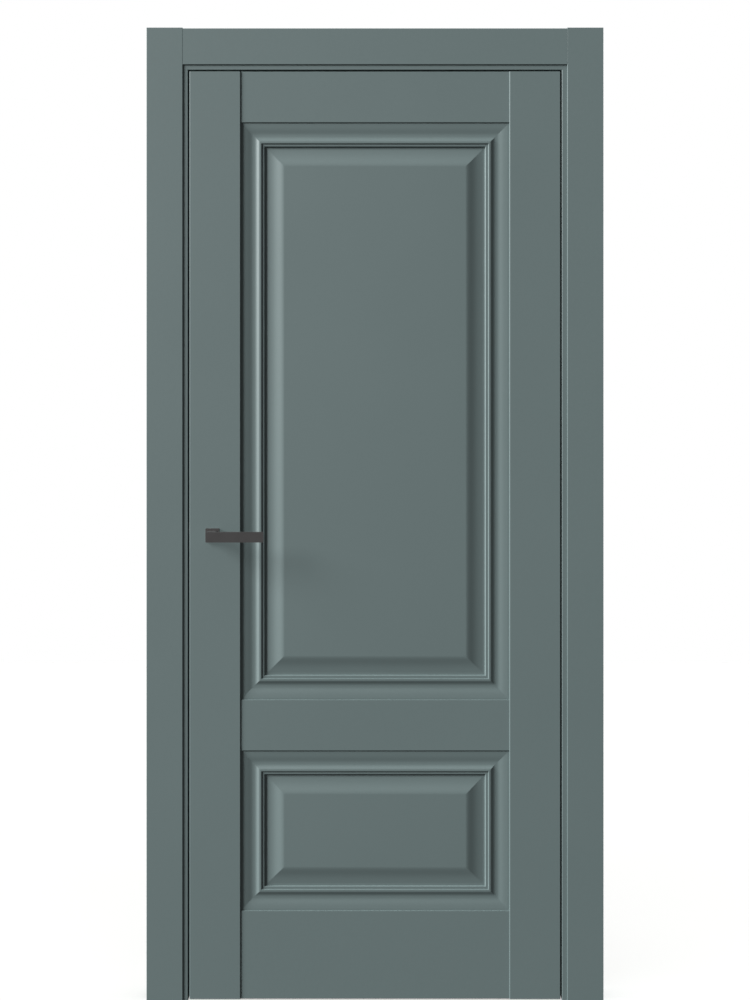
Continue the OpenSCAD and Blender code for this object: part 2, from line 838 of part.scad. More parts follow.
module corner_screws() {
    color(zinc) both_sides() corner_screw_pair(0);
}

module latch_seal() {
    color(rubber) on_latch_side() below_mitre() seal_section();
}

module hinge_seal() {
    color(rubber) below_mitre() seal_section();
}

module head_seal() {
    color(rubber) above_mitre() seal_section();
}

module front_latch_architrave() {
    color(paint) on_latch_side() side_architrave(reveal);
}

module front_hinge_architrave() {
    color(paint) side_architrave(reveal);
}

module front_head_architrave() {
    color(paint) head_architrave(reveal);
}

module back_latch_architrave() {
    color(paint) at_frame_back() on_latch_side() side_architrave(reveal - stop_h);
}

module back_hinge_architrave() {
    color(paint) at_frame_back() side_architrave(reveal - stop_h);
}

module back_head_architrave() {
    color(paint) at_frame_back() head_architrave(reveal - stop_h);
}

module strike_plate() {
    color(steel) difference() {
        latch_plate(-rebate_x - plate_t, latch_z, plate_t, strike_w, strike_h);
        bolt_opening(-rebate_x - plate_t - cut, plate_t + 2 * cut, bolt_fit);
        plate_screws_at(-rebate_x, latch_z, 1, strike_h)
            countersunk_room(screw_d, screw_l, screw_head_d);
    }
}

module strike_screws() {
    color(steel) plate_screws_at(-rebate_x, latch_z, 1, strike_h)
        countersunk(screw_d, screw_l, screw_head_d);
}

module upper_hinge_frame_half() {
    color(zinc) hinge_half(upper_hinge_z);
}

module lower_hinge_frame_half() {
    color(zinc) hinge_half(lower_hinge_z);
}

module hinge_frame_screws() {
    color(steel) for (z = hinge_zs) hinge_screws_at(z) countersunk(screw_d, screw_l, screw_head_d);
}

module lock_stile() {
    color(paint) difference() {
        on_latch_side() stile_blank();
        latch_plate(-edge_x - cut, lock_z, plate_t + mortise_fit + cut, forend_w + 2 * mortise_fit,
            forend_h + 2 * mortise_fit);
        translate([-edge_x, -case_y - mortise_fit, lock_z - case_h / 2 - mortise_fit])
            cube([case_x1 + edge_x + mortise_fit, case_t + 2 * mortise_fit, case_h + 2 * mortise_fit]);
        translate([lock_x, 0, lock_z]) rotate([90, 0, 0])
            cylinder(d = spindle_bore, h = leaf_t + 2 * cut, center = true);
        plate_screws_at(-edge_x, lock_z, -1, forend_h)
            countersunk_room(screw_d, screw_l, screw_head_d);
        base_screws_at() pilot_room(base_screw_d, base_screw_l);
        on_back() base_screws_at() pilot_room(base_screw_d, base_screw_l);
    }
}

module hinge_stile() {
    color(paint) difference() {
        stile_blank();
        into_leaf() hinge_mortise();
    }
}

module top_rail() {
    color(paint) rail(upper_z1, top_rail_h, true, false);
}

module middle_rail() {
    color(paint) rail(lower_z1, middle_rail_h, true, true);
}

module bottom_rail() {
    color(paint) rail(leaf_z0, bottom_rail_h, false, true);
}

module rail_dowels() {
    color(beech) both_sides() all_dowels(0);
}

module upper_panel() {
    color(paint) raised_panel(upper_z0, upper_z1);
}

module lower_panel() {
    color(paint) raised_panel(lower_z0, lower_z1);
}

module upper_front_uprights() {
    uprights(upper_z0, upper_z1);
}

module upper_front_crosspieces() {
    crosspieces(upper_z0, upper_z1);
}

module upper_back_uprights() {
    on_back() uprights(upper_z0, upper_z1);
}

module upper_back_crosspieces() {
    on_back() crosspieces(upper_z0, upper_z1);
}

module lower_front_uprights() {
    uprights(lower_z0, lower_z1);
}

module lower_front_crosspieces() {
    crosspieces(lower_z0, lower_z1);
}

module lower_back_uprights() {
    on_back() uprights(lower_z0, lower_z1);
}

module lower_back_crosspieces() {
    on_back() crosspieces(lower_z0, lower_z1);
}

module upper_hinge_leaf_half() {
    color(zinc) into_leaf() hinge_half(upper_hinge_z);
}

module lower_hinge_leaf_half() {
    color(zinc) into_leaf() hinge_half(lower_hinge_z);
}

module hinge_leaf_screws() {
    color(steel) into_leaf() for (z = hinge_zs) hinge_screws_at(z)
        countersunk(screw_d, screw_l, screw_head_d);
}

module latch_case() {
    w = case_x1 - case_x0;
    z0 = lock_z - case_h / 2;
    color(zinc) difference() {
        translate([case_x0, case_wall - case_y, z0]) cube([w, case_t - case_wall, case_h]);
        translate([case_x0 + case_wall, -case_y, z0 + case_wall])
            cube([w - 2 * case_wall, case_t - case_wall, case_h - 2 * case_wall]);
        bolt_opening(case_x0 - cut, case_wall + 2 * cut, bolt_fit);
        hub_bore();
    }
}

module latch_cover() {
    w = case_x1 - case_x0;
    post_w = case_y + tail_y0 - finger_fit;
    color(zinc) difference() {
        union() {
            translate([case_x0, -case_y, lock_z - case_h / 2]) cube([w, case_wall, case_h]);
            translate([post_x0, -case_y, latch_z - tail_h / 2]) cube([post_t, post_w, tail_h]);
        }
        hub_bore();
    }
}

module forend_plate() {
    color(steel) difference() {
        latch_plate(-edge_x, lock_z, plate_t, forend_w, forend_h);
        bolt_opening(-edge_x - cut, plate_t + 2 * cut, bolt_fit);
        plate_screws_at(-edge_x, lock_z, -1, forend_h)
            countersunk_room(screw_d, screw_l, screw_head_d);
    }
}

module forend_screws() {
    color(steel) plate_screws_at(-edge_x, lock_z, -1, forend_h)
        countersunk(screw_d, screw_l, screw_head_d);
}

// Coil spring between the bolt's head and the post, one ring of points at each step
module latch_spring() {
    n = spring_sides;
    steps = spring_turns * spring_steps;
    wire_r = spring_wire / 2;
    coil_r = spring_d / 2 - wire_r;
    pitch = (spring_l - spring_wire) / steps;
    points = [
        for (i = [0 : steps], j = [0 : n - 1])
            let (turn = 360 * i / spring_steps, side = 360 * j / n, r = coil_r + wire_r * cos(side))
            [wire_r * (1 + sin(side)) + pitch * i, r * cos(turn), r * sin(turn)]
    ];
    walls = [
        for (i = [0 : steps - 1], j = [0 : n - 1]) let (k = (j + 1) % n)
            [i * n + j, i * n + k, (i + 1) * n + k, (i + 1) * n + j]
    ];
    ends = [[for (j = [n - 1 : -1 : 0]) j], [for (j = [0 : n - 1]) steps * n + j]];
    color(steel) translate([bolt_back, 0, latch_z])
        polyhedron(points, concat(walls, ends), convexity = spring_turns);
}

module front_rosette_base() {
    rosette_base();
}

module back_rosette_base() {
    on_back() rosette_base();
}

module base_screws() {
    color(steel) {
        base_screws_at() countersunk(base_screw_d, base_screw_l, base_screw_head_d);
        on_back() base_screws_at() countersunk(base_screw_d, base_screw_l, base_screw_head_d);
    }
}

module front_rosette() {
    rosette();
}

module back_rosette() {
    on_back() rosette();
}

module front_lever() {
    lever();
}

module back_lever() {
    on_back() lever();
}

module spindle() {
    color(steel) translate([lock_x, 0, lock_z])
        cube([spindle_s, leaf_t + 2 * spindle_out, spindle_s], center = true);
}

module follower() {
    color(zinc) translate([lock_x, 0, lock_z]) rotate([90, 0, 0]) difference() {
        union() {
            cylinder(r = hub_r, h = case_t, center = true);
            cylinder(r = hub_r + hub_flange, h = hub_t, center = true);
            translate([-finger_w / 2, 0, -hub_t / 2]) cube([finger_w, finger_r, hub_t]);
            translate([0, finger_r, 0]) cylinder(d = finger_w, h = hub_t, center = true);
        }
        linear_extrude(case_t + 2 * cut, center = true)
            square(spindle_s + 2 * spindle_fit, center = true);
    }
}

module set_screws() {
    l = (neck_s - spindle_s) / 2;
    color(steel) {
        set_screw(set_screw_d, l);
        on_back() set_screw(set_screw_d, l);
    }
}

// Bolt with its bevelled nose, a tail plate beside the finger and the peg behind it
module latch_bolt() {
    half = bolt_w / 2;
    tip = -edge_x - bolt_throw;
    tail_x0 = case_x0 + case_wall + finger_fit;
    tail_z = latch_z - tail_h / 2;
    color(steel) {
        translate([0, 0, latch_z - bolt_h / 2]) linear_extrude(bolt_h) polygon([
            [tip, -half], [tip, bolt_nose - half], [-edge_x, half], [bolt_back, half], [bolt_back, -half]
        ]);
        translate([tail_x0, tail_y0, tail_z]) cube([peg_x0 + peg_l - tail_x0, tail_t, tail_h]);
        translate([peg_x0, -hub_t / 2, tail_z]) cube([peg_l, tail_y0 + tail_t + hub_t / 2, tail_h]);
    }
}

module upper_frame_link() {
    color(zinc) frame_link(upper_hinge_z);
}

module lower_frame_link() {
    color(zinc) frame_link(lower_hinge_z);
}

module upper_leaf_link() {
    color(zinc) leaf_link(upper_hinge_z);
}

module lower_leaf_link() {
    color(zinc) leaf_link(lower_hinge_z);
}

latch_jamb();
hinge_jamb();
head_jamb();
corner_screws();
latch_seal();
hinge_seal();
head_seal();
front_latch_architrave();
front_hinge_architrave();
front_head_architrave();
back_latch_architrave();
back_hinge_architrave();
back_head_architrave();
strike_plate();
strike_screws();
upper_hinge_frame_half();
lower_hinge_frame_half();
hinge_frame_screws();
lock_stile();
hinge_stile();
top_rail();
middle_rail();
bottom_rail();
rail_dowels();
upper_panel();
lower_panel();
upper_front_uprights();
upper_front_crosspieces();
upper_back_uprights();
upper_back_crosspieces();
lower_front_uprights();
lower_front_crosspieces();
lower_back_uprights();
lower_back_crosspieces();
upper_hinge_leaf_half();
lower_hinge_leaf_half();
hinge_leaf_screws();
latch_case();
latch_cover();
forend_plate();
forend_screws();
latch_spring();
front_rosette_base();
back_rosette_base();
base_screws();
front_rosette();
back_rosette();
front_lever();
back_lever();
spindle();
follower();
set_screws();
latch_bolt();
upper_frame_link();
lower_frame_link();
upper_leaf_link();
lower_leaf_link();
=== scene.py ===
"""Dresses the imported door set: paint, metals, swept mouldings, raised panels and studio light."""

import json
import logging
import math
from collections.abc import Iterable, Sequence
from dataclasses import dataclass, field
from enum import Enum
from typing import Any

import bmesh
import bpy
from mathutils import Matrix, Vector


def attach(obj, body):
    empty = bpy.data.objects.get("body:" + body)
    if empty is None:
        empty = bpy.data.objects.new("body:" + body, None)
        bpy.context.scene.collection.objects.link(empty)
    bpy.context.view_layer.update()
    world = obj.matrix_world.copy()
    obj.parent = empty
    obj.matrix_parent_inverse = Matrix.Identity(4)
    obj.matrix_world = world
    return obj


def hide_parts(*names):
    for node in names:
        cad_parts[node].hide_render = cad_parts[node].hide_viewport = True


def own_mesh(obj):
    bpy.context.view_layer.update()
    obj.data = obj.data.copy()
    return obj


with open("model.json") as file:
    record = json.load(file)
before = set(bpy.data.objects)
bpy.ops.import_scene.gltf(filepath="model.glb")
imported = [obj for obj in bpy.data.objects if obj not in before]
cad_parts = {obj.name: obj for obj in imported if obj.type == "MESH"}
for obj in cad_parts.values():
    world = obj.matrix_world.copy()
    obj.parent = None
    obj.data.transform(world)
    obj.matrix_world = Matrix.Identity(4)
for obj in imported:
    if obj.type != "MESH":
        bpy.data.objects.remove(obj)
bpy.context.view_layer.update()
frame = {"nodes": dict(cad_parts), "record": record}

LOG = logging.getLogger("door_set")
MERGE = 1e-6
QUARTER_TURN = math.pi / 2

# The Mix node's colour sockets, by number because its other sockets have the same names.
MIX_SHARE, MIX_LOW, MIX_HIGH, MIX_RESULT = 0, 6, 7, 2

Colour = tuple[float, float, float]
Point2 = tuple[float, float]
Point3 = tuple[float, float, float]


class Face(Enum):
    """The side of the leaf on which a piece lies, by its turn about the vertical axis."""

    FRONT = 0.0
    BACK = math.pi


class Run(Enum):
    """The way a pair of mouldings runs, by its turn in the plane of the leaf."""

    UPRIGHT = 0.0
    LEVEL = QUARTER_TURN


def linear(value: float) -> float:
    """Turns a display value from 0 to 1 into scene light, by the standard display curve."""
    return value / 12.92 if value <= 0.04045 else ((value + 0.055) / 1.055) ** 2.4


def shade(display: Colour, strength: float = 1.0) -> tuple[float, float, float, float]:
    """Turns a display colour, made deeper or paler by a factor, into a socket's colour."""
    return (*(linear(min(1.0, v * strength)) for v in display), 1.0)


class Value:
    """A shader socket on which Python's operators add Math nodes."""

    def __init__(self, tree: "ShaderTree", socket: bpy.types.NodeSocket) -> None:
        """Keeps the tree and the socket that gives the value."""
        self.tree = tree
        self.socket = socket

    def _math(self, operation: str, first: Any, second: Any) -> "Value":
        """Adds one Math node and gives its result."""
        node = self.tree.node("ShaderNodeMath", {"operation": operation}, {0: first, 1: second})
        return Value(self.tree, node.outputs[0])

    def __add__(self, other: Any) -> "Value":
        """Sum."""
        return self._math("ADD", self, other)

    __radd__ = __add__

    def __sub__(self, other: Any) -> "Value":
        """Difference."""
        return self._math("SUBTRACT", self, other)

    def __rsub__(self, other: Any) -> "Value":
        """Difference from a number."""
        return self._math("SUBTRACT", other, self)

    def __mul__(self, other: Any) -> "Value":
        """Product."""
        return self._math("MULTIPLY", self, other)

    __rmul__ = __mul__

    def __pow__(self, other: Any) -> "Value":
        """Power."""
        return self._math("POWER", self, other)


def mixed(first: Value, second: Value, share: float) -> Value:
    """Mixes two values, with the given share of the first."""
    return first * share + second * (1 - share)


def around(level: float, *swings: tuple[Value, float]) -> Value:
    """Gives a number that swings about a level.

    Args:
        level: The number half way through every swing.
        swings: Values from 0 to 1, each with the width of its swing.

    Returns:
        The number.
    """
    total, *others = (value * width for value, width in swings)
    for other in others:
        total = total + other
    return total + (level - sum(width for _, width in swings) / 2)


class ShaderTree:
    """The node tree of one material."""

    def __init__(self, name: str) -> None:
        """Makes a material with a Principled shader and nothing on its sockets.

        Args:
            name: The material's name.
        """
        self.material = bpy.data.materials.new(name)
        self.material.use_nodes = True
        self.nodes = self.material.node_tree.nodes
        self.links = self.material.node_tree.links
        self.shader = self.nodes["Principled BSDF"]

    def node(self, kind: str, settings: dict[str, Any], sockets: dict[Any, Any]) -> bpy.types.Node:
        """Adds a node of any kind.

        Args:
            kind: The node's type.
            settings: The node's own properties, set first.
            sockets: A number, colour, value or socket for each named or numbered input.

        Returns:
            The node.
        """
        node = self.nodes.new(kind)
        for name, setting in settings.items():
            setattr(node, name, setting)
        for key, given in sockets.items():
            self.feed(node.inputs[key], given)
        return node

    def feed(self, socket: bpy.types.NodeSocket, given: Any) -> None:
        """Links a value or socket to an input, or sets the input.

        Args:
            socket: The input.
            given: A value or socket to link, or a number or colour to set.
        """
        source = given.socket if isinstance(given, Value) else given
        if isinstance(source, bpy.types.NodeSocket):
            self.links.new(source, socket)
        else:
            socket.default_value = source

    def place(self, stretch: Sequence[float] = (1.0, 1.0, 1.0)) -> bpy.types.NodeSocket:
        """Gives the place on the object, stretched along its axes."""
        where = self.node("ShaderNodeTexCoord", {}, {}).outputs["Object"]
        return self.node("ShaderNodeMapping", {}, {"Vector": where, "Scale": stretch}).outputs[0]

    def noise(self, place: bpy.types.NodeSocket, scale: float, detail: float = 2.0) -> Value:
        """Gives soft noise from 0 to 1.

        Args:
            place: The place at which the noise is read.
            scale: How many patches fit in a metre.
            detail: How many finer layers are added.

        Returns:
            The noise.
        """
        sockets = {"Vector": place, "Scale": scale, "Detail": detail}
        return Value(self, self.node("ShaderNodeTexNoise", {}, sockets).outputs[0])

    def blend(self, share: Value, low: Any, high: Any) -> bpy.types.NodeSocket:
        """Mixes two colours.

        Args:
            share: The second colour's share, from 0 to 1.
            low: The first colour.
            high: The second colour.

        Returns:
            The mixed colour.
        """
        settings = {"data_type": "RGBA", "clamp_factor": True}
        sockets = {MIX_SHARE: share, MIX_LOW: low, MIX_HIGH: high}
        return self.node("ShaderNodeMix", settings, sockets).outputs[MIX_RESULT]

    def relief(self, height: Value, depth: float, strength: float) -> bpy.types.NodeSocket:
        """Gives the normal of a fine relief of the given depth in metres."""
        sockets = {"Height": height, "Distance": depth, "Strength": strength}
        return self.node("ShaderNodeBump", {}, sockets).outputs[0]

    def dress(self, **sockets: Any) -> bpy.types.Material:
        """Feeds the shader's sockets.

        Args:
            sockets: What goes to each socket, named with underscores for spaces.

        Returns:
            The material.
        """
        for name, given in sockets.items():
            self.feed(self.shader.inputs[name.replace("_", " ")], given)
        return self.material


@dataclass(frozen=True)
class PaintFinish:
    """Matt film of paint with a roller's fine skin and a faint unevenness of tone."""

    name: str
    colour: Colour
    tone: float = 0.02
    roughness: float = 0.55
    gloss: float = 0.9
    cloud_scale: float = 2.6
    cloud_detail: float = 3.0
    cloud_share: float = 0.75
    cloud_swing: float = 0.06
    speck_scale: float = 240.0
    speck_swing: float = 0.10
    skin_scale: float = 900.0
    skin_detail: float = 1.0
    skin_share: float = 0.6
    skin_depth: float = 0.00008
    skin_strength: float = 0.35

    def material(self) -> bpy.types.Material:
        """Builds the paint's material.

        Returns:
            The material.
        """
        tree = ShaderTree(self.name)
        place = tree.place()
        cloud = tree.noise(place, self.cloud_scale, self.cloud_detail)
        speck = tree.noise(place, self.speck_scale)
        skin = tree.noise(place, self.skin_scale, self.skin_detail)
        deep, pale = shade(self.colour, 1 - self.tone), shade(self.colour, 1 + self.tone)
        height = mixed(skin, speck, self.skin_share)
        return tree.dress(
            Base_Color=tree.blend(mixed(cloud, speck, self.cloud_share), deep, pale),
            Roughness=around(self.roughness, (speck, self.speck_swing), (cloud, self.cloud_swing)),
            Normal=tree.relief(height, self.skin_depth, self.skin_strength),
            Specular_IOR_Level=self.gloss,
        )


@dataclass(frozen=True)
class CoatedFinish:
    """Satin powder coating with a fine grain."""

    name: str
    colour: Colour
    roughness: float = 0.42
    contrast: float = 0.07
    metallic: float = 0.25
    grain_scale: float = 2200.0
    grain_share: float = 0.6
    grain_swing: float = 0.12
    grain_depth: float = 0.00004
    grain_strength: float = 0.5
    wear_scale: float = 45.0
    wear_detail: float = 3.0
    wear_swing: float = 0.10

    def material(self) -> bpy.types.Material:
        """Builds the coating's material.

        Returns:
            The material.
        """
        tree = ShaderTree(self.name)
        place = tree.place()
        grain = tree.noise(place, self.grain_scale)
        wear = tree.noise(place, self.wear_scale, self.wear_detail)
        deep, pale = shade(self.colour, 1 - self.contrast), shade(self.colour, 1 + self.contrast)
        return tree.dress(
            Base_Color=tree.blend(mixed(grain, wear, self.grain_share), deep, pale),
            Roughness=around(self.roughness, (grain, self.grain_swing), (wear, self.wear_swing)),
            Normal=tree.relief(grain, self.grain_depth, self.grain_strength),
            Metallic=self.metallic,
        )


@dataclass(frozen=True)
class MetalFinish:
    """Bare or plated metal, with streaks along its long side."""

    name: str
    colour: Colour
    roughness: float
    streak: Point3 = (900.0, 900.0, 25.0)
    contrast: float = 0.10
    metallic: float = 0.72
    streak_detail: float = 3.0
    streak_share: float = 0.7
    streak_swing: float = 0.16
    streak_depth: float = 0.00003
    streak_strength: float = 0.4
    stain_scale: float = 60.0
    stain_detail: float = 3.0
    stain_swing: float = 0.10

    def material(self) -> bpy.types.Material:
        """Builds the metal's material.

        Returns:
            The material.
        """
        tree = ShaderTree(self.name)
        streaks = tree.noise(tree.place(self.streak), 1.0, self.streak_detail)
        stain = tree.noise(tree.place(), self.stain_scale, self.stain_detail)
        deep, pale = shade(self.colour, 1 - self.contrast), shade(self.colour, 1 + self.contrast)
        swings = (streaks, self.streak_swing), (stain, self.stain_swing)
        return tree.dress(
            Base_Color=tree.blend(mixed(streaks, stain, self.streak_share), deep, pale),
            Roughness=around(self.roughness, *swings),
            Normal=tree.relief(streaks, self.streak_depth, self.streak_strength),
            Metallic=self.metallic,
        )


@dataclass(frozen=True)
class RubberFinish:
    """Black sealing rubber with a dusty bloom."""

    name: str
    colour: Colour
    roughness: float = 0.755
    gloss: float = 0.3
    bloom: float = 1.5
    bloom_scale: float = 70.0
    bloom_detail: float = 4.0
    bloom_power: float = 2.0
    bloom_swing: float = 0.15
    pore_scale: float = 1500.0
    pore_detail: float = 1.0
    pore_depth: float = 0.00005
    pore_strength: float = 0.5

    def material(self) -> bpy.types.Material:
        """Builds the rubber's material.

        Returns:
            The material.
        """
        tree = ShaderTree(self.name)
        place = tree.place()
        dust = tree.noise(place, self.bloom_scale, self.bloom_detail)
        pores = tree.noise(place, self.pore_scale, self.pore_detail)
        deep, pale = shade(self.colour), shade(self.colour, self.bloom)
        return tree.dress(
            Base_Color=tree.blend(dust ** self.bloom_power, deep, pale),
            Roughness=around(self.roughness, (dust, self.bloom_swing)),
            Normal=tree.relief(pores, self.pore_depth, self.pore_strength),
            Specular_IOR_Level=self.gloss,
        )


@dataclass(frozen=True)
class BareWoodFinish:
    """Bare turned beech with its grain along the dowel."""

    name: str
    colour: Colour
    roughness: float = 0.65
    dark: float = 0.78
    grain: Point3 = (18.0, 700.0, 700.0)
    grain_detail: float = 4.0
    grain_share: float = 0.7
    grain_depth: float = 0.0001
    grain_strength: float = 0.4
    fleck: Point3 = (250.0, 1600.0, 1600.0)
    fleck_swing: float = 0.2

    def material(self) -> bpy.types.Material:
        """Builds the wood's material.

        Returns:
            The material.
        """
        tree = ShaderTree(self.name)
        grain = tree.noise(tree.place(self.grain), 1.0, self.grain_detail)
        flecks = tree.noise(tree.place(self.fleck), 1.0)
        deep, pale = shade(self.colour, self.dark), shade(self.colour)
        return tree.dress(
            Base_Color=tree.blend(mixed(grain, flecks, self.grain_share), deep, pale),
            Roughness=around(self.roughness, (flecks, self.fleck_swing)),
            Normal=tree.relief(grain, self.grain_depth, self.grain_strength),
        )


@dataclass(frozen=True)
class FloorFinish:
    """Plain pale floor."""

    name: str
    colour: Colour
    roughness: float = 0.85
    gloss: float = 0.1
    dark: float = 0.99
    cloud_scale: float = 1.5
    cloud_swing: float = 0.1

    def material(self) -> bpy.types.Material:
        """Builds the floor's material.

        Returns:
            The material.
        """
        tree = ShaderTree(self.name)
        cloud = tree.noise(tree.place(), self.cloud_scale)
        return tree.dress(
            Base_Color=tree.blend(cloud, shade(self.colour, self.dark), shade(self.colour)),
            Roughness=around(self.roughness, (cloud, self.cloud_swing)),
            Specular_IOR_Level=self.gloss,
        )


Finish = PaintFinish | CoatedFinish | MetalFinish | RubberFinish | BareWoodFinish


def keep(name: str, mesh: bpy.types.Mesh, body: str,
         nodes: Iterable[str]) -> bpy.types.Object:
    """Shows a finished mesh in place of CAD nodes.

    Args:
        name: The piece's name.
        mesh: The mesh, with its place in its vertices.
        body: The body on which it rides.
        nodes: The CAD nodes for which it stands.

    Returns:
        The piece.
    """
    piece = bpy.data.objects.new(name, mesh)
    mesh.name = name
    bpy.context.scene.collection.objects.link(piece)
    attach(piece, body)
    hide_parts(*nodes)
    LOG.info("%s rides on %s with %d faces", name, body, len(mesh.polygons))
    return piece


def settled(piece: bpy.types.Object) -> bpy.types.Mesh:
    """Turns a helper object with live modifiers into a plain mesh, and removes the helper.

    Args:
        piece: The helper.

    Returns:
        The mesh.
    """
    graph = bpy.context.evaluated_depsgraph_get()
    graph.update()
    mesh = bpy.data.meshes.new_from_object(piece.evaluated_get(graph), depsgraph=graph)
    piece.modifiers.clear()
    bpy.data.objects.remove(piece)
    return mesh


def smooth(mesh: bpy.types.Mesh, angle: float = math.radians(28)) -> bpy.types.Mesh:
    """Shades a mesh smooth, apart from some edges.

    Args:
        mesh: The mesh.
        angle: The angle past which an edge stays sharp.

    Returns:
        The same mesh.
    """
    mesh.shade_smooth()
    mesh.set_sharp_from_angle(angle=angle)
    return mesh


@dataclass
class NodeTool:
    """A Geometry Nodes tree with named inputs, and one way to add its nodes."""

    name: str
    tree: bpy.types.GeometryNodeTree = field(init=False)
    start: bpy.types.Node = field(init=False)

    def __post_init__(self) -> None:
        """Makes the empty tree with its geometry sockets."""
        self.tree = bpy.data.node_groups.new(self.name, "GeometryNodeTree")
        for way in ("INPUT", "OUTPUT"):
            self.tree.interface.new_socket(
                "Geometry", in_out=way, socket_type="NodeSocketGeometry")
        self.start = self.tree.nodes.new("NodeGroupInput")

    def inputs(self, sizes: Iterable[str], material: str) -> None:
        """Adds the named inputs.

        Args:
            sizes: The names of the numbers.
            material: The name of the material.
        """
        kinds = {name: "NodeSocketFloat" for name in sizes} | {material: "NodeSocketMaterial"}
        for name, kind in kinds.items():
            self.tree.interface.new_socket(name, in_out="INPUT", socket_type=kind)

    def add(self, kind: str, settings: dict[str, Any], sockets: dict[Any, Any]) -> bpy.types.Node:
        """Adds a node.

        Args:
            kind: The node's type.
            settings: Its own properties, set first.
            sockets: A value, a socket or a list of sockets for each input.

        Returns:
            The node.
        """
        node = self.tree.nodes.new(kind)
        for name, setting in settings.items():
            setattr(node, name, setting)
        for key, given in sockets.items():
            for source in given if isinstance(given, list) else [given]:
                if isinstance(source, bpy.types.NodeSocket):
                    self.tree.links.new(source, node.inputs[key])
                else:
                    node.inputs[key].default_value = source
        return node

    def math(self, operation: str, *terms: Any) -> bpy.types.NodeSocket:
        """Adds one Math node and gives its result."""
        sockets = dict(enumerate(terms))
        return self.add("ShaderNodeMath", {"operation": operation}, sockets).outputs[0]

    def vector(self, x: Any = 0.0, y: Any = 0.0, z: Any = 0.0) -> bpy.types.NodeSocket:
        """Joins three numbers or sockets into a vector."""
        return self.add("ShaderNodeCombineXYZ", {}, {0: x, 1: y, 2: z}).outputs[0]

    def rotation(self, turn: bpy.types.NodeSocket) -> bpy.types.NodeSocket:
        """Turns a vector of angles into a rotation."""
        return self.add("FunctionNodeEulerToRotation", {}, {0: turn}).outputs[0]

    def lowered(self, shape: bpy.types.NodeSocket, depth: Any) -> bpy.types.NodeSocket:
        """Moves a shape down.

        Args:
            shape: The shape.
            depth: How far, as a number or a socket.

        Returns:
            The moved shape.
        """
        move = self.vector(z=self.math("MULTIPLY", depth, -1.0))
        sockets = {"Geometry": shape, "Translation": move}
        return self.add("GeometryNodeTransform", {}, sockets).outputs[0]

    def close(self, shape: bpy.types.NodeSocket, material: bpy.types.NodeSocket) -> None:
        """Ends the tree: instances made real, material set.

        Args:
            shape: The finished shape.
            material: The input that gives its material.
        """
        real = self.add("GeometryNodeRealizeInstances", {}, {"Geometry": shape})
        sockets = {"Geometry": real.outputs[0], "Material": material}
        dressed = self.add("GeometryNodeSetMaterial", {}, sockets)
        self.add("NodeGroupOutput", {}, {0: dressed.outputs[0]})

    def run(self, seed: bpy.types.Mesh, given: dict[str, Any]) -> bpy.types.Mesh:
        """Runs the tree on a mesh.

        Args:
            seed: The mesh that enters the tree.
            given: A value for each named input.

        Returns:
            The plain mesh that leaves it.
        """
        helper = bpy.data.objects.new(self.name, seed)
        bpy.context.scene.collection.objects.link(helper)
        modifier = helper.modifiers.new(self.name, "NODES")
        modifier.node_group = self.tree
        for item in self.tree.interface.items_tree:
            if item.in_out == "INPUT" and item.name in given:
                modifier[item.identifier] = given[item.name]
        return settled(helper)


def swept(start: Point2, end: Point2, steps: int, bias: float, lead: float = 0.0) -> list[Point2]:
    """Gives points of a curve that leaves one level slowly and meets the other in a quick turn.

    Args:
        start: The first point, along and up.
        end: The last point.
        steps: The number of stretches.
        bias: How late the steepest line comes.
        lead: The share of the rise that begins at once.

    Returns:
        The points, both ends included.
    """
    points = []
    for i in range(steps + 1):
        t = i / steps
        late, early = (1 - math.cos(math.pi * t**bias)) / 2, 1.5 * t - 0.5 * t**3
        rise = (1 - lead) * late + lead * early
        points.append((start[0] + (end[0] - start[0]) * t, start[1] + (end[1] - start[1]) * rise))
    return points


@dataclass(frozen=True)
class Opening:
    """A panel opening of the leaf, in metres."""

    name: str
    low: float
    high: float
    half: float = 0.290

    @property
    def middle(self) -> float:
        """Height of the opening's middle."""
        return (self.low + self.high) / 2


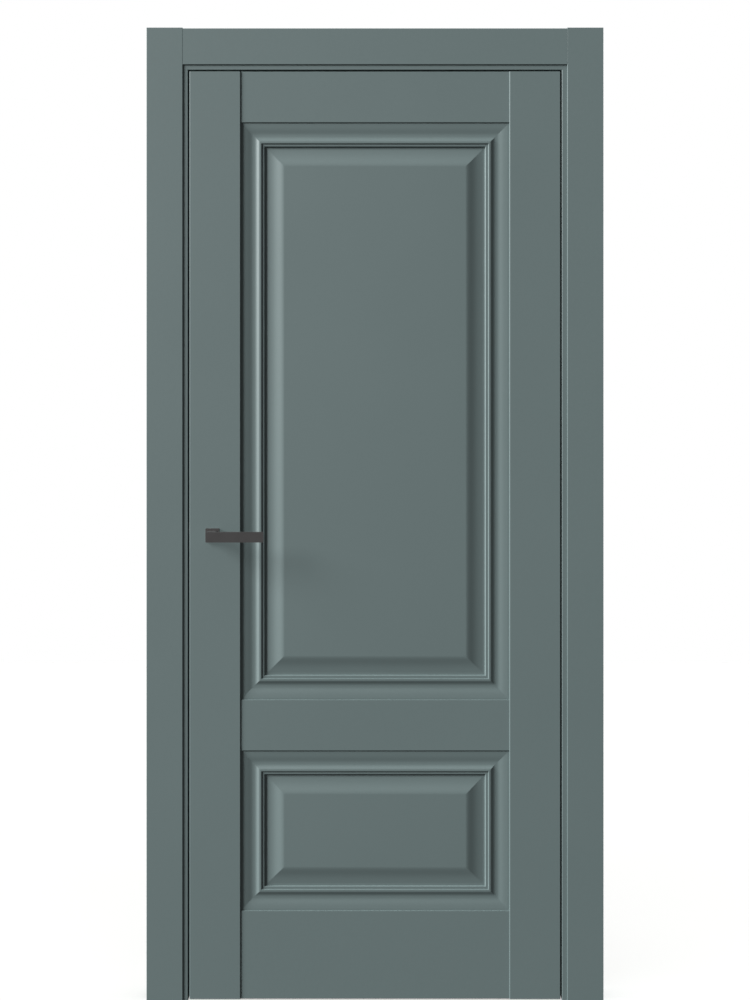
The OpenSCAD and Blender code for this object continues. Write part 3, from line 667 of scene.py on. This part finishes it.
@dataclass
class PanelWork:
    """The raised panels and the mitred mouldings that hold them, in metres.

    Depths are from the middle of the leaf's thickness.
    """

    paint: bpy.types.Material
    openings: tuple[Opening, ...] = (Opening("upper", 0.648, 1.893), Opening("lower", 0.193, 0.538))
    tongue_in: float = 0.012
    tongue_y: float = 0.006
    margin_y: float = 0.011
    field_y: float = 0.017
    quirk_y: float = 0.0158
    hollow_y: float = 0.0133
    crest_y: float = 0.0167
    moulding_w: float = 0.053
    margin_w: float = 0.004
    bevel_w: float = 0.038
    quirk_w: float = 0.004
    hollow_at: float = 0.0265
    crest_w: float = 0.0026
    drop_w: float = 0.0027
    first_drop_w: float = 0.0018
    land_w: float = 0.0035
    land_rise: float = 0.62
    bias: float = 1.65
    bevel_lead: float = 0.4
    hollow_lead: float = 0.42
    steps: int = 36
    arris: float = 0.00035

    def panel_edge(self) -> list[Point2]:
        """Gives the panel's half thickness against the distance from the opening's edge.

        Returns:
            The points, from the tongue to the field.
        """
        start = self.moulding_w + self.margin_w
        foot, head = (start, self.margin_y), (start + self.bevel_w, self.field_y)
        return [
            (-self.tongue_in, self.tongue_y),
            (self.moulding_w - 2 * self.arris, self.tongue_y),
            (self.moulding_w, self.margin_y),
            *swept(foot, head, self.steps, self.bias, self.bevel_lead),
        ]

    def moulding_face(self) -> list[Point2]:
        """Gives the moulding's face against the distance from the rail.

        Returns:
            The points, from the quirk to the panel.
        """
        fall = self.moulding_w - 2 * self.drop_w - self.land_w
        land_y = self.margin_y + self.land_rise * (self.crest_y - self.margin_y)
        few = self.steps // 3
        quirk, hollow = (self.quirk_w, self.quirk_y), (self.hollow_at, self.hollow_y)
        crest, brink = (fall - self.crest_w, self.crest_y), (fall, self.crest_y)
        land, lip = (fall + self.first_drop_w, land_y), (self.moulding_w - self.drop_w, land_y)
        return [
            (0.0, self.quirk_y),
            *swept(quirk, hollow, self.steps, self.bias, self.hollow_lead),
            *swept(hollow, crest, self.steps, self.bias)[1:],
            *swept(brink, land, few, self.bias),
            *swept(lip, (self.moulding_w, self.margin_y), few, self.bias),
        ]

    def panel(self, opening: Opening) -> bpy.types.Object:
        """Builds one raised panel as rings of its edge section, with its mitre lines kept sharp.

        Args:
            opening: The opening that it fills.

        Returns:
            The piece.
        """
        mesh = bpy.data.meshes.new(f"{opening.name}_panel")
        work = bmesh.new()
        edge = self.panel_edge()
        section = [(d, -y) for d, y in reversed(edge)] + [(d, y) for d, y in edge]
        rings = []
        for d, y in section:
            x, low, high = opening.half - d, opening.low + d, opening.high - d
            corners = ((-x, low), (x, low), (x, high), (-x, high))
            rings.append([work.verts.new((cx, y, cz)) for cx, cz in corners])
        work.faces.new(rings[0])
        work.faces.new(list(reversed(rings[-1])))
        steps = list(zip(rings, rings[1:]))
        for ring, following in steps:
            for i in range(4):
                j = (i + 1) % 4
                work.faces.new((ring[i], following[i], following[j], ring[j]))
        bmesh.ops.recalc_face_normals(work, faces=work.faces)
        work.to_mesh(mesh)
        mitres = {frozenset((a[i].index, b[i].index)) for a, b in steps for i in range(4)}
        work.free()
        smooth(mesh)
        for line in mesh.edges:
            if frozenset(line.vertices) in mitres:
                line.use_edge_sharp = True
        mesh.materials.append(self.paint)
        name, node = f"{opening.name}_raised_panel", f"{opening.name}_panel"
        return keep(name, mesh, "leaf", [node])

    def moulding_tool(self) -> NodeTool:
        """Builds the tree that makes two mitred lengths on opposite sides of an opening.

        Returns:
            The tree, which takes the moulding's section.
        """
        tool = NodeTool("mitred_pair")
        tool.inputs(("Length", "Span", "Turn"), "Paint")
        outs = tool.start.outputs
        drawn = tool.add("GeometryNodeExtrudeMesh", {"mode": "FACES"}, {
            "Mesh": outs["Geometry"], "Offset": (0.0, 0.0, 1.0), "Offset Scale": outs["Length"],
            "Individual": False,
        })
        foot = tool.add("GeometryNodeFlipFaces", {}, {"Mesh": outs["Geometry"]})
        both = tool.add("GeometryNodeJoinGeometry", {}, {
            "Geometry": [drawn.outputs[0], foot.outputs[0]],
        })
        whole = tool.add("GeometryNodeMergeByDistance", {}, {
            "Geometry": both.outputs[0], "Distance": MERGE,
        })
        place = tool.add("GeometryNodeInputPosition", {}, {})
        axes = tool.add("ShaderNodeSeparateXYZ", {}, {0: place.outputs[0]})
        share = tool.math("DIVIDE", axes.outputs["Z"], outs["Length"])
        slant = tool.math("MULTIPLY_ADD", share, -2.0, 1.0)
        lift = tool.math("MULTIPLY", axes.outputs["X"], slant)
        centred = tool.math("SUBTRACT", lift, tool.math("MULTIPLY", outs["Length"], 0.5))
        aside = tool.math("MULTIPLY", outs["Span"], -1.0)
        length = tool.add("GeometryNodeSetPosition", {}, {
            "Geometry": whole.outputs[0], "Offset": tool.vector(x=aside, z=centred),
        })
        pair = tool.add("GeometryNodeMeshLine", {"mode": "OFFSET"}, {
            "Count": 2, "Offset": (0.0, 0.0, 0.0),
        })
        index = tool.add("GeometryNodeInputIndex", {}, {})
        half_turn = tool.math("MULTIPLY", index.outputs[0], math.pi)
        turn = tool.vector(y=tool.math("ADD", half_turn, outs["Turn"]))
        copies = tool.add("GeometryNodeInstanceOnPoints", {}, {
            "Points": pair.outputs[0], "Instance": length.outputs[0],
            "Rotation": tool.rotation(turn),
        })
        tool.close(copies.outputs[0], outs["Paint"])
        return tool

    def moulding_section(self) -> bpy.types.Mesh:
        """Builds the moulding's section as one face that looks up.

        Returns:
            The section.
        """
        outline = [(x, -y) for x, y in self.moulding_face()]
        outline += [(self.moulding_w, -self.tongue_y), (0.0, -self.tongue_y)]
        mesh = bpy.data.meshes.new("moulding_section")
        mesh.from_pydata([(x, y, 0.0) for x, y in outline], [], [tuple(range(len(outline)))])
        if mesh.polygons[0].normal.z < 0:
            mesh.flip_normals()
        return mesh

    def mouldings(self, tool: NodeTool, opening: Opening, face: Face, run: Run) -> bpy.types.Object:
        """Builds one pair of mouldings.

        Args:
            tool: The tree that makes a pair.
            opening: The opening that they frame.
            face: The side of the leaf.
            run: Uprights or crosspieces.

        Returns:
            The piece.
        """
        height, width = opening.high - opening.low, 2 * opening.half
        length, across = (height, width) if run is Run.UPRIGHT else (width, height)
        given = {"Length": length, "Span": across / 2, "Turn": run.value, "Paint": self.paint}
        mesh = tool.run(self.moulding_section(), given)
        move = Matrix.Translation((0.0, 0.0, opening.middle))
        mesh.transform(move @ Matrix.Rotation(face.value, 4, "Z"))
        smooth(mesh)
        part = "uprights" if run is Run.UPRIGHT else "crosspieces"
        name = f"{opening.name}_{face.name.lower()}_{part}"
        return keep(f"{name}_moulded", mesh, "leaf", [name])

    def build(self) -> None:
        """Builds the panels and all the mouldings."""
        tool = self.moulding_tool()
        for opening in self.openings:
            self.panel(opening)
            for face in Face:
                for run in Run:
                    self.mouldings(tool, opening, face, run)


@dataclass(frozen=True)
class ScrewSet:
    """Countersunk screws of one CAD node: where their heads lie and which way they look."""

    node: str
    body: str
    heads: tuple[Point3, ...]
    turn: float


@dataclass
class Fixings:
    """The screws that show when the leaf stands open, in metres.

    The slot's sizes are shares of the head's radius, and the spin is the turn from one screw of a
    set to the next.
    """

    steel: bpy.types.Material
    head_r: float = 0.004
    shank_r: float = 0.002
    length: float = 0.025
    recess: float = 0.0014
    slot_l: float = 0.992
    slot_w: float = 0.1736
    shank_ease: float = 0.98
    spin: float = 0.7
    head_sides: int = 32
    shank_sides: int = 24
    hinge_y: float = -0.001
    hinge_zs: tuple[float, ...] = (0.253, 1.753)
    hinge_screw_z: float = 0.050
    rebate_x: float = 0.403
    edge_x: float = 0.400
    lock_z: float = 1.003
    latch_z: float = 1.019
    forend_screw_z: float = 0.054
    strike_screw_z: float = 0.044

    def sets(self) -> tuple[ScrewSet, ...]:
        """Gives the four sets of screws.

        Returns:
            The sets.
        """
        hinges = [z + s * self.hinge_screw_z for z in self.hinge_zs for s in (-1, 1)]
        strike = [self.latch_z + s * self.strike_screw_z for s in (-1, 1)]
        forend = [self.lock_z + s * self.forend_screw_z for s in (-1, 1)]
        rows = (
            ("hinge_frame_screws", "frame", self.rebate_x, self.hinge_y, hinges, -QUARTER_TURN),
            ("hinge_leaf_screws", "leaf", self.edge_x, self.hinge_y, hinges, QUARTER_TURN),
            ("strike_screws", "frame", -self.rebate_x, 0.0, strike, QUARTER_TURN),
            ("forend_screws", "leaf", -self.edge_x, 0.0, forend, -QUARTER_TURN),
        )
        return tuple(
            ScrewSet(node, body, tuple((x, y, z) for z in heights), turn)
            for node, body, x, y, heights, turn in rows
        )

    def screw_tool(self) -> NodeTool:
        """Builds the tree that sets a cross-slotted countersunk screw at each point.

        Returns:
            The tree, which takes the centres of the heads.
        """
        tool = NodeTool("countersunk_screws")
        tool.inputs(("Head radius", "Shank radius", "Length", "Recess", "Turn"), "Steel")
        outs = tool.start.outputs
        sunk = tool.math("SUBTRACT", outs["Head radius"], outs["Shank radius"])
        head = tool.add("GeometryNodeMeshCone", {}, {
            "Vertices": self.head_sides, "Radius Top": outs["Head radius"],
            "Radius Bottom": outs["Shank radius"], "Depth": sunk,
        })
        slots = []
        for x, y in ((self.slot_l, self.slot_w), (self.slot_w, self.slot_l)):
            cube = tool.add("GeometryNodeMeshCube", {}, {"Size": (1.0, 1.0, 1.0)})
            size = tool.vector(
                tool.math("MULTIPLY", outs["Head radius"], x),
                tool.math("MULTIPLY", outs["Head radius"], y),
                tool.math("MULTIPLY", outs["Recess"], 2.0),
            )
            sockets = {"Geometry": cube.outputs[0], "Scale": size}
            slots.append(tool.add("GeometryNodeTransform", {}, sockets).outputs[0])
        cut = tool.add("GeometryNodeMeshBoolean", {"operation": "DIFFERENCE", "solver": "EXACT"}, {
            "Mesh 1": tool.lowered(head.outputs[0], sunk), "Mesh 2": slots,
        })
        run = tool.math("SUBTRACT", outs["Length"], sunk)
        shank = tool.add("GeometryNodeMeshCylinder", {}, {
            "Vertices": self.shank_sides, "Depth": run,
            "Radius": tool.math("MULTIPLY", outs["Shank radius"], self.shank_ease),
        })
        drop = tool.math("ADD", sunk, tool.math("MULTIPLY", run, 0.5))
        screw = tool.add("GeometryNodeJoinGeometry", {}, {
            "Geometry": [cut.outputs[0], tool.lowered(shank.outputs[0], drop)],
        })
        index = tool.add("GeometryNodeInputIndex", {}, {})
        spin = tool.math("MULTIPLY", index.outputs[0], self.spin)
        turned = tool.add("FunctionNodeRotateRotation", {"rotation_space": "LOCAL"}, {
            0: tool.rotation(tool.vector(y=outs["Turn"])), 1: tool.rotation(tool.vector(z=spin)),
        })
        copies = tool.add("GeometryNodeInstanceOnPoints", {}, {
            "Points": outs["Geometry"], "Instance": screw.outputs[0],
            "Rotation": turned.outputs[0],
        })
        tool.close(copies.outputs[0], outs["Steel"])
        return tool

    def build(self) -> None:
        """Builds each set of screws as one piece."""
        tool = self.screw_tool()
        given = {
            "Head radius": self.head_r, "Shank radius": self.shank_r, "Length": self.length,
            "Recess": self.recess, "Steel": self.steel,
        }
        for screws in self.sets():
            points = bpy.data.meshes.new(f"{screws.node}_points")
            points.from_pydata(screws.heads, [], [])
            mesh = smooth(tool.run(points, {**given, "Turn": screws.turn}))
            keep(f"{screws.node}_slotted", mesh, screws.body, [screws.node])


@dataclass
class LatchSpring:
    """The coil spring behind the latch bolt, which shortens as the bolt draws back, in metres."""

    steel: bpy.types.Material
    start_x: float = -0.385
    end_x: float = -0.363
    height: float = 1.019
    coil_r: float = 0.0035
    wire_r: float = 0.0005
    turns: float = 7.0
    coil_sides: int = 32
    wire_sides: int = 16
    travel: float = 0.011
    clear: float = 0.00005

    def coil_tool(self) -> NodeTool:
        """Builds the tree that draws a round wire along a helix.

        Returns:
            The tree.
        """
        tool = NodeTool("coil_spring")
        tool.inputs(("Turns", "Coil radius", "Wire radius", "Rise"), "Steel")
        outs = tool.start.outputs
        helix = tool.add("GeometryNodeCurveSpiral", {}, {
            "Resolution": self.coil_sides, "Rotations": outs["Turns"], "Height": outs["Rise"],
            "Start Radius": outs["Coil radius"], "End Radius": outs["Coil radius"],
        })
        wire = tool.add("GeometryNodeCurvePrimitiveCircle", {}, {
            "Resolution": self.wire_sides, "Radius": outs["Wire radius"],
        })
        coil = tool.add("GeometryNodeCurveToMesh", {}, {
            "Curve": helix.outputs[0], "Profile Curve": wire.outputs[0], "Fill Caps": True,
        })
        tool.close(coil.outputs[0], outs["Steel"])
        return tool

    def build(self) -> bpy.types.Object:
        """Builds the spring.

        Returns:
            The piece.
        """
        length = self.end_x - self.start_x
        inset = self.wire_r + self.clear
        given = {
            "Turns": self.turns, "Coil radius": self.coil_r, "Wire radius": self.wire_r,
            "Rise": length - 2 * inset, "Steel": self.steel,
        }
        mesh = self.coil_tool().run(bpy.data.meshes.new("spring_seed"), given)
        first = Matrix.Translation((self.start_x + inset, 0.0, self.height))
        mesh.transform(first @ Matrix.Rotation(QUARTER_TURN, 4, "Y"))
        piece = keep("latch_spring_coil", smooth(mesh), "leaf", ["latch_spring"])
        (length - self.travel) / length
        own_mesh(piece)
        return piece


@dataclass(frozen=True)
class SoftEdged:
    """A CAD node whose edges are broken as the real piece's are, in metres."""

    node: str
    body: str
    slot: str
    width: float
    steps: int = 3
    flat_angle: float = math.radians(0.5)
    edge_angle: float = math.radians(40)

    def blank(self) -> bpy.types.Object:
        """Copies the node's mesh into a helper object and merges its triangles.

        Returns:
            The helper.
        """
        mesh = frame["nodes"][self.node].data.copy()
        work = bmesh.new()
        work.from_mesh(mesh)
        bmesh.ops.remove_doubles(work, verts=work.verts, dist=MERGE)
        bmesh.ops.dissolve_limit(
            work, angle_limit=self.flat_angle, verts=work.verts, edges=work.edges)
        work.to_mesh(mesh)
        work.free()
        mesh.shade_smooth()
        helper = bpy.data.objects.new(f"{self.node}_blank", mesh)
        bpy.context.scene.collection.objects.link(helper)
        return helper

    def build(self, material: bpy.types.Material) -> bpy.types.Object:
        """Rounds the edges of the node's copy.

        Args:
            material: The finish.

        Returns:
            The piece.
        """
        helper = self.blank()
        rounding = helper.modifiers.new("edges", "BEVEL")
        rounding.width = self.width
        rounding.segments = self.steps
        rounding.limit_method = "ANGLE"
        rounding.angle_limit = self.edge_angle
        rounding.use_clamp_overlap = True
        flat = helper.modifiers.new("faces", "WEIGHTED_NORMAL")
        flat.keep_sharp = True
        made = settled(helper)
        made.materials.clear()
        made.materials.append(material)
        return keep(f"{self.node}_eased", made, self.body, [self.node])


@dataclass
class Studio:
    """Pale floor, soft lights and the camera, in metres.

    The shadow fields are the shares of a lamp's light that the handles, or the part, block.
    """

    floor_half: float = 5.0
    floor_colour: Colour = (0.93, 0.93, 0.925)
    key_from: Point3 = (-0.830, -0.305, 0.467)
    key_away: float = 44.0
    key_side: float = 18.4
    key_watts: float = 50600.0
    handle_words: tuple[str, ...] = ("lever", "rosette", "spindle", "set_screws", "base_screws")
    handle_shadow: float = 0.3
    ambient: float = 0.12
    wash_away: float = 6.0
    wash_side: float = 40.0
    wash_watts: float = 6200.0
    wash_shadow: float = 0.4
    eye: Point3 = (0.0, -3.92, 1.2945)
    focal_px: float = 1809.0
    frame_px: tuple[int, int] = (750, 1000)
    sensor_mm: float = 36.0
    shift: Point2 = (0.0, -0.1)
    aim: Point3 = (0.0, 0.0, 1.05)

    def floor(self) -> bpy.types.Object:
        """Lays the floor, which gives no bounced light to the part.

        Returns:
            The floor.
        """
        mesh = bpy.data.meshes.new("floor")
        h = self.floor_half
        mesh.from_pydata([(-h, -h, 0), (h, -h, 0), (h, h, 0), (-h, h, 0)], [], [(0, 1, 2, 3)])
        mesh.materials.append(FloorFinish("pale_floor", self.floor_colour).material())
        floor = bpy.data.objects.new("floor", mesh)
        bpy.context.scene.collection.objects.link(floor)
        floor.visible_diffuse = False
        floor.visible_glossy = False
        return floor

    def lamp(self, name: str, away: Vector, side: float, watts: float,
             lit: bpy.types.Collection) -> bpy.types.Object:
        """Hangs one soft lamp that looks at the part.

        Args:
            name: The lamp's name.
            away: Its place from the aim.
            side: The side of its square face.
            watts: Its strength.
            lit: The collection that it lights.

        Returns:
            The lamp.
        """
        data = bpy.data.lights.new(name, "AREA")
        data.shape = "SQUARE"
        data.size = side
        data.energy = watts
        lamp = bpy.data.objects.new(name, data)
        bpy.context.scene.collection.objects.link(lamp)
        lamp.location = Vector(self.aim) + away
        lamp.rotation_euler = away.to_track_quat("Z", "Y").to_euler()
        lamp.visible_camera = False
        lamp.light_linking.receiver_collection = lit
        return lamp

    def group(self, name: str, pieces: Iterable[bpy.types.Object]) -> bpy.types.Collection:
        """Collects pieces that a lamp lights, or that block its light.

        Args:
            name: The collection's name.
            pieces: The pieces.

        Returns:
            The collection.
        """
        collection = bpy.data.collections.new(name)
        for piece in pieces:
            collection.objects.link(piece)
        return collection

    def shared_lamp(self, name: str, away: Vector, side: float, watts: float,
                    lit: bpy.types.Collection, shadow: float,
                    blockers: bpy.types.Collection) -> None:
        """Hangs two lamps in one place, of which only one is shaded by every piece.

        Args:
            name: The name of the lamp that every piece shades.
            away: Their place from the aim.
            side: The side of their square faces.
            watts: Their strength together.
            lit: The collection that they light.
            shadow: The first lamp's share of the light.
            blockers: The pieces that shade the second lamp.
        """
        self.lamp(name, away, side, watts * shadow, lit)
        even = self.lamp(f"even_{name}", away, side, watts * (1 - shadow), lit)
        even.light_linking.blocker_collection = blockers

    def lights(self, floor: bpy.types.Object) -> None:
        """Hangs raking lamps on each side of the part and a wash over the floor.

        The handles give only a faint shadow, and so does the part on the floor.

        Args:
            floor: The floor.
        """
        pieces = [o for o in bpy.context.scene.objects if o.type == "MESH" and o is not floor]
        part = self.group("lit_part", pieces)
        large = self.group("large_pieces", [
            o for o in pieces if not any(word in o.name for word in self.handle_words)
        ])
        ground = self.group("lit_floor", [floor])
        front = Vector(self.key_from).normalized() * self.key_away
        back = Vector((-front.x, -front.y, front.z))
        for name, away in (("front_key", front), ("back_key", back)):
            self.shared_lamp(
                name, away, self.key_side, self.key_watts, part, self.handle_shadow, large)
        above = Vector((0.0, 0.0, self.wash_away))
        self.shared_lamp(
            "floor_wash", above, self.wash_side, self.wash_watts, ground, self.wash_shadow, ground)

    def surroundings(self) -> None:
        """Gives a white surround to the camera and a dim one to everything else."""
        world = bpy.data.worlds.new("surroundings")
        bpy.context.scene.world = world
        world.use_nodes = True
        nodes, links = world.node_tree.nodes, world.node_tree.links
        dim, white = nodes["Background"], nodes.new("ShaderNodeBackground")
        for ground in (dim, white):
            ground.inputs["Color"].default_value = (1.0, 1.0, 1.0, 1.0)
        dim.inputs["Strength"].default_value = self.ambient
        path = nodes.new("ShaderNodeLightPath")
        mix = nodes.new("ShaderNodeMixShader")
        links.new(path.outputs["Is Camera Ray"], mix.inputs[0])
        links.new(dim.outputs[0], mix.inputs[1])
        links.new(white.outputs[0], mix.inputs[2])
        links.new(mix.outputs[0], nodes["World Output"].inputs["Surface"])
        bpy.context.scene.view_settings.view_transform = "Standard"

    def camera(self) -> bpy.types.Object:
        """Stands the camera square before the leaf.

        Returns:
            The camera.
        """
        data = bpy.data.cameras.new("camera")
        data.sensor_fit = "VERTICAL"
        data.sensor_height = self.sensor_mm
        data.lens = self.sensor_mm * self.focal_px / self.frame_px[1]
        data.shift_x, data.shift_y = self.shift
        camera = bpy.data.objects.new("camera", data)
        bpy.context.scene.collection.objects.link(camera)
        camera.location = self.eye
        camera.rotation_euler = (QUARTER_TURN, 0.0, 0.0)
        bpy.context.scene.camera = camera
        return camera

    def build(self) -> None:
        """Sets the stage."""
        self.lights(self.floor())
        self.surroundings()
        self.camera()


SOFT_EDGED: tuple[SoftEdged, ...] = (
    SoftEdged("front_lever", "handle", "graphite", 0.0009),
    SoftEdged("back_lever", "handle", "graphite", 0.0009),
    SoftEdged("front_rosette", "leaf", "graphite", 0.0007),
    SoftEdged("back_rosette", "leaf", "graphite", 0.0007),
    SoftEdged("latch_bolt", "latch", "steel", 0.0003, 2),
    SoftEdged("strike_plate", "frame", "steel", 0.0002, 2),
    SoftEdged("forend_plate", "leaf", "steel", 0.0002, 2),
)

FINISHES: dict[str, Finish] = {
    "painted_wood": PaintFinish("teal_grey_paint", (0.385, 0.448, 0.448)),
    "raw_wood": BareWoodFinish("bare_beech", (0.78, 0.62, 0.44)),
    "seal_rubber": RubberFinish("seal_rubber", (0.10, 0.105, 0.105)),
    "graphite": CoatedFinish("graphite_coating", (0.305, 0.30, 0.30)),
    "steel": MetalFinish("brushed_steel", (0.72, 0.725, 0.725), 0.36),
    "zinc": MetalFinish(
        "satin_zinc", (0.58, 0.59, 0.60), 0.46, streak=(120.0, 120.0, 120.0), contrast=0.06),
}


def dress_nodes(materials: dict[str, bpy.types.Material]) -> None:
    """Gives each CAD node the material of its slot.

    Args:
        materials: The material of each slot.
    """
    for part in frame["record"]["subparts"]:
        mesh = frame["nodes"][part["node"]].data
        mesh.materials.clear()
        mesh.materials.append(materials[part["material_slot"]])
        LOG.info("%s is dressed in %s", part["node"], part["material_slot"])


def main() -> None:
    """Builds the looks, the studio and the camera."""
    logging.basicConfig(level=logging.INFO, format="%(name)s: %(message)s")
    materials = {slot: finish.material() for slot, finish in FINISHES.items()}
    dress_nodes(materials)
    PanelWork(materials["painted_wood"]).build()
    Fixings(materials["steel"]).build()
    LatchSpring(materials["steel"]).build()
    for piece in SOFT_EDGED:
        piece.build(materials[piece.slot])
    Studio().build()


if __name__ == "__main__":
    main()
